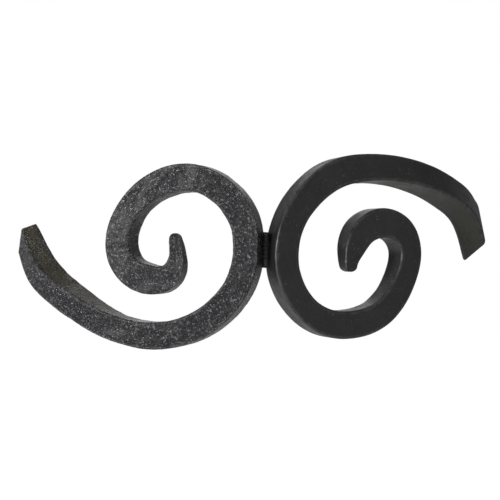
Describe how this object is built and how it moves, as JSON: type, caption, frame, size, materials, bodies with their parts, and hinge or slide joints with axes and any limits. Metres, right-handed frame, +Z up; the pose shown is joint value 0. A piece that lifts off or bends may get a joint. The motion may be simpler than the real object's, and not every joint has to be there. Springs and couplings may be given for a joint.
{
  "type": "shutter dog holdback",
  "caption": "Forged lazy-S holdback of welded square-bar scrolls that turns on a hidden lag post to pin an open shutter to a wall.",
  "frame": {"origin": "pivot axis at the wall face, under the wall washer", "axes": "+Y along the pivot into the wall, so the dog stands out at -Y; +X to the viewer's right along the dog's length at rest; +Z up"},
  "size_m": [0.1938, 0.1529, 0.0753],
  "materials": {
    "left_iron": "hammered and mottled, oil blackened, satin",
    "right_iron": "smoother forge black, waxed, satin",
    "weld_metal": "blackened weld bead",
    "hub_steel": "turned and blackened",
    "pin_steel": "ground dowel steel",
    "bronze": "turned bronze",
    "spring_steel": "tempered spring steel",
    "post_steel": "black oxide, oiled",
    "washer_steel": "black oxide, oiled"
  },
  "bodies": {
    "post": {"lag_post": "post_steel", "wall_washer": "washer_steel", "wave_washer": "spring_steel"},
    "dog": {"left_scroll": "left_iron", "right_scroll": "right_iron", "scroll_weld": "weld_metal", "pivot_hub": "hub_steel", "hub_weld": "weld_metal", "retaining_pins": "pin_steel", "thrust_washer": "bronze"}
  },
  "joints": [
    {"name": "dog_spin", "type": "hinge", "parent": "post", "child": "dog", "pos_m": [0, -0.0675, 0], "axis": [0, 1, 0], "continuous": true}
  ]
}
